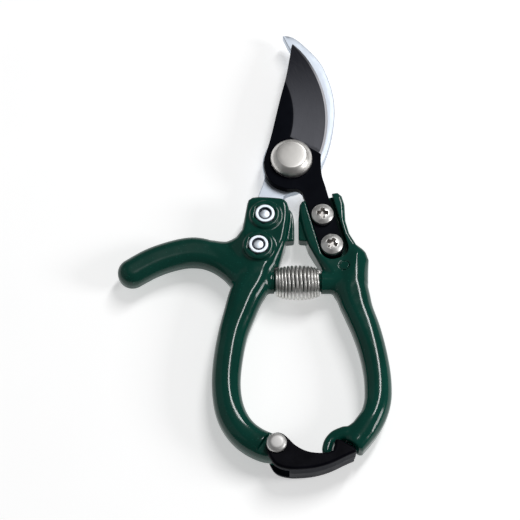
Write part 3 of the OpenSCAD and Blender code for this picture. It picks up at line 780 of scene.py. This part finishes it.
HOOK = counter_clockwise(np.vstack([
    curve([(-3.4, 63.9), (-1.3, 64.0), (1.1, 63.2), (3.9, 61.1), (6.8, 58.1), (9.9, 54.7), (13.5, 49.5),
           (15.8, 44), (17.7, 37.8), (18.8, 31.7), (19.1, 24.8), (18.6, 18.7), (17.5, 12.3), (15.6, 5),
           (13.2, -1), (10.8, -6.6), (7, -11), (2.1, -13.4), (-2.4, -15), (-4.6, -18.4)], 4),
    tang_end(COUNTER_TANG, 5.2, -SCREW_PITCH, 6.0, 5.0)[::-1],
    curve([(-15.6, -21.4), (-13.9, -14.7), (-11.6, -7), (-12.4, 0), (-10.6, 7), (-5.6, 11.6), (1, 12.4),
           (6, 14.4), (9, 20), (9.9, 28), (9, 37), (6, 46), (2, 53.4), (-0.6, 57.6), (-2.2, 61)], 4)]))


def hook_top(x, y):
    """Front face of the counter blade: flat against the cutting blade, with a slight bevel at its bow."""
    r = np.hypot(x - EDGE_CENTRE[0], y - EDGE_CENTRE[1])
    outer = np.clip(-inside_outline(x, y, HOOK), 0, 2.0)
    return np.where(r > 56.5, -0.35 * (1 - outer / 2.0) ** 2, 0.0)


hook_holes = [(*from_tang(COUNTER_TANG, 0, row), SCREW_HOLE) for row in SCREW_ROWS]
points, faces = plate(HOOK, hook_top, lambda x, y: np.full(len(x), -COUNTER_THICK), 0.3, 1.1, [],
                      [(0, 0, PIVOT_HOLE)] + hook_holes)
piece("counter blade hook", points, faces, "left_side", BRIGHT, "bright_steel", ["counter_blade"], 30)


# ---------------------------------------------------------------- pivot and fasteners

dome = np.vstack([[(0, 3.5), (8.65, 3.5)], curve([(8.65, 3.5), (8.92, 3.6), (9.0, 3.9), (8.98, 4.6)], 4),
                  curve([(8.96, 4.8), (8.72, 5.7), (8.05, 6.8), (7.1, 7.7), (6.45, 8.15), (6.0, 8.3),
                         (5.6, 8.36)], 5), [(4.0, 8.42), (2.0, 8.46), (0, 8.47)]])
bolt_end = [(0, -9.5), (3.4, -9.5), (3.9, -9.2), (3.95, -8.6), (3.95, 3.4), (0, 3.4)]
piece("pivot head", *turned(dome, 96), "left_side", DOME, "polished_steel", ["pivot_bolt"], 50)
piece("pivot bolt end", *turned(bolt_end, 48), "left_side", ZINC, "polished_steel", [], 40)
piece("plain washer", *turned([(4.2, -5.35), (7.8, -5.38), (8, -5.2), (8, -4.2), (7.8, -4.02), (4.2, -4.02),
                               (4.2, -5.35)], 64), "left_side", ZINC, "zinc_nuts", ["pivot_washer"], 30)


def nut(x, y, z, flats, tall, collar, bore, room):
    """Locking nut: a hexagon chamfered by a cone, a round collar that folds over its ring."""
    r = np.hypot(x, y)
    base = np.maximum(slab(hexagon(x, y, flats), z, 0, tall * 0.62, 0.1),
                      (r - flats * 0.575 + np.maximum(z - tall * 0.5, 0.25 - z) * 1.6) * 0.55)
    f = fillet(base, slab(r - collar, z, tall * 0.4, tall, 0.3), 0.15)
    f = carve(f, r - bore, 0.1)
    return carve(f, np.maximum(r - room, tall * 0.78 - z), 0.1)


def lock_nut(name, at, z, back, lean, nodes, insert_nodes, body, flats=8.0, tall=5.0, collar=4.12,
             bore=2.5, room=2.8):
    """A locking nut and the nylon ring inside its collar."""
    half = flats * 0.61
    step = flats * 0.018
    made = skin(lambda x, y, z: nut(x, y, z, flats, tall, collar, bore, room),
                (-half, -half, -0.5), (half, half, tall + 0.5), step)
    piece(name + " steel", placed(made[0], at, z, back, lean), made[1], body, ZINC, "zinc_nuts", nodes, 180)
    h = tall * 0.78
    ring = [(bore - 0.03, h), (room - 0.03, h), (room - 0.03, tall - 0.2), (room - 0.2, tall - 0.12),
            (bore + 0.05, tall - 0.3), (bore - 0.15, tall - 0.6), (bore - 0.03, h)]
    made = turned(ring, 48)
    piece(name + " nylon ring", placed(made[0], at, z, back, lean), made[1], body, NYLON,
          "nylon_inserts", insert_nodes, 40)


def cross(x, y, z):
    """Field of a cross recess: two tapering arms and a conical middle, down to 1.3 mm above the seat."""
    w, reach = 0.5 + 0.17 * (z - 1.3), 1.5 + 0.5 * (z - 1.3)
    arms = np.minimum(np.maximum(np.abs(x) - w, np.abs(y) - reach),
                      np.maximum(np.abs(y) - w, np.abs(x) - reach))
    return np.maximum(fillet(arms, np.hypot(x, y) - 0.85 - 0.3 * (z - 1.3), 0.3), 1.3 - z)


def pan_head(x, y, z):
    """Pan head: a low dome on a short drum, with a cross recess."""
    r = np.hypot(x, y)
    f = slab(r - 4.65, z, 0, 3.6, 0.5)
    f = np.maximum(f, np.hypot(r, z + 5.0) - 8.5)
    return carve(f, cross(x, y, z), 0.1)


def screw(name, at, z, back, lean, length, nodes, body, turn):
    """A pan-head screw: its head, and the end of its shank with the thread that shows in the nut.
    Its point attribute of painted shade is 1 down in the recess, which darkens the head there."""
    step = 0.13
    made = skin(pan_head, (-5.2, -5.2, -0.5), (5.2, 5.2, 4.1), step)
    head = piece(name + " head", placed(made[0], at, z, back, lean + turn), made[1], body, PLATED,
                 "steel_fasteners", nodes, 180)
    # painted shade: 1 well inside the cross recess, fading to 0 just past its rim
    painted_recess_shade = head.data.attributes.new("painted_recess_shade", "FLOAT", "POINT")
    painted_recess_shade.data.foreach_set("value", np.clip(0.45 - (cross(*made[0].T) - 0.03) / 0.3, 0, 1))
    heights = np.arange(-length + 0.6, -length + 5.0, 0.1)
    thread = lambda a, h: 0.16 * (np.abs(((h / 0.8 - a / (2 * math.pi)) % 1.0) - 0.5) * 2 - 1.0)
    shank = np.vstack([[(0, -length), (1.9, -length), (2.05, -length + 0.06), (2.35, -length + 0.4)],
                       np.stack([np.full(len(heights), 2.44), heights], 1), [(2.3, -0.2), (0, -0.2)]])
    made = turned(shank, 40, thread)
    piece(name + " shank", placed(made[0], at, z, back, lean), made[1], body, ZINC,
          "steel_fasteners", [], 40)


for row, which in zip(SCREW_ROWS, ("upper", "lower")):
    at = from_tang(CUTTING_TANG, 0, row)
    screw(f"cutting blade screw {which}", at, CUTTING_THICK, False, CUTTING_TANG[1], 11.7,
          [f"cutting_blade_screw_{which}"], "right_side", -15 if row == 0 else -42)
    lock_nut(f"cutting blade nut {which}", at, -3.8, True, CUTTING_TANG[1], [f"cutting_blade_nut_{which}"],
             [f"cutting_blade_insert_{which}"], "right_side")
    at = from_tang(COUNTER_TANG, 0, row)
    screw(f"counter blade screw {which}", at, -COUNTER_THICK, True, COUNTER_TANG[1],
          12.3 if row == 0 else 12.8,
          [f"counter_blade_screw_{which}"], "left_side", 25 if row == 0 else 70)
    lock_nut(f"counter blade nut {which}", at, 4.2, False, COUNTER_TANG[1],
             [f"counter_blade_nut_{which}"],
             [f"counter_blade_insert_{which}"], "left_side")
lock_nut("pivot nut", (0, 0), -5.4, True, 0, ["pivot_nut"], ["pivot_nut_insert"],
         "left_side", 13.0, 4.1, 6.1, 4.05, 4.8)


# ---------------------------------------------------------------- spring and catch

def coil():
    """Barrel coil: a wire circle carried along a helix about X whose radius follows a sine hump, with
    closed end turns; round tips close the wire's ends."""
    turns, per, sides = 13.0, 36, 12
    t = np.linspace(0, 1, int(turns * per) + 1)
    a = 2 * math.pi * turns * t
    radius = 5.07 + 1.75 * np.sin(math.pi * t) ** 0.8
    x = -6.8 + 18.25 * (t - 0.035 * np.sin(2 * math.pi * t))
    centre = np.stack([x, SPRING_Y + radius * np.cos(a), radius * np.sin(a)], 1)
    out = np.stack([0 * a, np.cos(a), np.sin(a)], 1)
    b = np.linspace(0, 2 * math.pi, sides, endpoint=False)
    wire = np.full(len(t), 0.62)
    grid = centre[:, None] + wire[:, None, None] * (np.cos(b)[None, :, None] * out[:, None]
                                                    + np.sin(b)[None, :, None] * np.array([1.0, 0, 0]))
    points = np.vstack([grid.reshape(-1, 3), centre[:1], centre[-1:]])
    k = np.arange(sides)
    last = (len(t) - 1) * sides
    n = len(points)
    faces = [grid_faces(len(t), sides)[:, ::-1], np.stack([np.full(sides, n - 2), k, (k + 1) % sides], -1),
             np.stack([np.full(sides, n - 1), last + (k + 1) % sides, last + k], -1)]
    return points, faces


points, faces = coil()
spring = piece("return spring coil", points, faces, None, WIRE, "spring_steel", ["return_spring"], 60)
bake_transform(spring)

CHEEK = np.vstack([
    curve([(-9.0, -126.8), (-6.5, -126.1), (-4.1, -126.8), (-2.0, -128.7), (0.5, -131.3), (3.6, -133.3),
           (7.2, -134.5), (11.8, -134.8), (15.0, -134.2), (16.3, -133.2)], 4)[:-1],
    curve([(16.5, -132), (16.6, -130), (17.0, -129.2), (17.8, -129.0), (19.3, -129.4), (21.4, -130.7),
           (24.2, -132.4), (25.3, -133.5)], 3),
    curve([(25.2, -134.4), (21.3, -136.2), (15.2, -139.2), (9, -141.1), (2.9, -141.8), (-1.4, -141.8),
           (-5.2, -141.0), (-7.6, -139.6), (-9.2, -137.4), (-10.5, -134.4), (-11.0, -131.6),
           (-10.5, -128.8), (-9.2, -127)], 4)])
WEB = np.vstack([curve([(-1.6, -139.2), (3, -139.4), (8.4, -138.6), (13, -137.2), (16.9, -135.6)], 4),
                 [(16.9, -133.7), (30, -133.7), (30, -150), (-1.6, -150)]])


def catch_body(x, y, z):
    """Field of the catch: one block cut to the outline and drawn in toward the back, with a slot left
    open between its two cheeks except where the web joins them."""
    back = np.maximum(2.0 - z, 0)
    f = slab(inside_outline(x, y - 0.07 * back, CHEEK) + 0.05 * back, z, -8.0, 8.0, 1.0)
    f = carve(f, np.maximum(np.abs(z) - 4.9, -inside_outline(x, y, WEB)), 0.3)
    return carve(f, np.hypot(x - RIVET[0], y - RIVET[1]) - 2.1, 0.1)


CATCH_PITCH = 0.34
piece("catch body", *skin(catch_body, (-12.4, -142.9, -9), (26.6, -125.2, 9), CATCH_PITCH),
      "catch", PLASTIC, "black_plastic", ["catch"], 180)
rivet_head = np.vstack([[(0, 8.1), (3.7, 8.1)], curve([(3.7, 8.1), (4.05, 8.25), (4.12, 8.6), (3.9, 9.15),
                        (3.3, 9.65), (2.4, 9.95), (1.2, 10.02)], 5), [(0, 10.03)]])
made = turned(rivet_head, 72)
piece("rivet head", placed(made[0], RIVET), made[1], "left_side", RIVETED, "satin_rivet",
      ["catch_rivet"], 50)
made = turned([(0, -9.4), (1.6, -9.4), (2.5, -9.2), (2.9, -8.95), (2.0, -8.8), (2.0, 8.2), (0, 8.2)], 40)
piece("rivet shank", placed(made[0], RIVET), made[1], "left_side", RIVETED, "satin_rivet", [], 40)
made = turned([(2.05, -8.9), (3.7, -8.92), (3.82, -8.8), (3.8, -8.15), (3.7, -8.1), (2.05, -8.1),
               (2.05, -8.9)], 48)
piece("rivet washer", placed(made[0], RIVET), made[1], "left_side", RIVETED, "satin_rivet",
      ["catch_rivet_washer"], 30)


# ---------------------------------------------------------------- floor, light and camera

def pale_floor():
    """A white table that glows a little, with the faintest mottling."""
    mat, n, l, s = new_finish("white floor", (0.9, 0.9, 0.9), roughness=0.9, Emission_Strength=0.5)
    at = place(n, l)
    pale = tint(n, l, noise(n, l, at, 0.02, 2), (0.9, 0.9, 0.9), (0.92, 0.92, 0.92))
    l.new(pale, s.inputs["Base Color"])
    l.new(pale, s.inputs["Emission Color"])
    return mat


g = np.linspace(-1.5, 1.5, 5)
gx, gy = np.meshgrid(g, g, indexing="ij")
floor_mesh = bpy.data.meshes.new("floor")
floor_mesh.from_pydata(np.stack([gx, gy, 0 * gx], -1).reshape(-1, 3).tolist(), [],
                       grid_faces(5, 5, False)[:, ::-1].tolist())
floor = bpy.data.objects.new("floor", floor_mesh)
bpy.context.scene.collection.objects.link(floor)
floor.data.materials.append(pale_floor())


def soft_light(name, at, to, size, power, colour=(1, 1, 1)):
    """A rectangular soft light at `at`, facing `to`."""
    data = bpy.data.lights.new(name, "AREA")
    data.shape = "RECTANGLE"
    data.size, data.size_y = size
    data.energy = power
    data.color = colour
    obj = bpy.data.objects.new(name, data)
    bpy.context.scene.collection.objects.link(obj)
    obj.location = at
    obj.rotation_euler = (Vector(to) - Vector(at)).to_track_quat("-Z", "Y").to_euler()
    return obj


world = bpy.data.worlds.new("studio")
world.use_nodes = True
world.node_tree.nodes["Background"].inputs["Color"].default_value = (1, 1, 1, 1)
world.node_tree.nodes["Background"].inputs["Strength"].default_value = 0.12
bpy.context.scene.world = world
bpy.context.scene.view_settings.view_transform = "Standard"
middle = (-0.0135, -0.046, 0.0095)
soft_light("ridge light", (0.56, 0.86, 1.76), middle, (0.25, 1.1), 18)
soft_light("right lamp", (0.85, -0.20, 0.47), middle, (0.3, 0.3), 3.0)
soft_light("left fill", (-1.1, 0.0, 0.7), middle, (1.4, 1.4), 1.0, (0.93, 0.97, 1.0))

TILT = math.radians(25)
DISTANCE = 0.9
VIEW_WIDTH = 0.2197        # width seen at that distance, m
SENSOR = 36
camera_data = bpy.data.cameras.new("camera")
camera_data.sensor_width = SENSOR
camera_data.lens = SENSOR * DISTANCE / VIEW_WIDTH
camera = bpy.data.objects.new("camera", camera_data)
bpy.context.scene.collection.objects.link(camera)
camera.location = (middle[0], middle[1] - DISTANCE * math.sin(TILT),
                   middle[2] + DISTANCE * math.cos(TILT))
camera.rotation_euler = (TILT, 0, 0)
bpy.context.scene.camera = camera
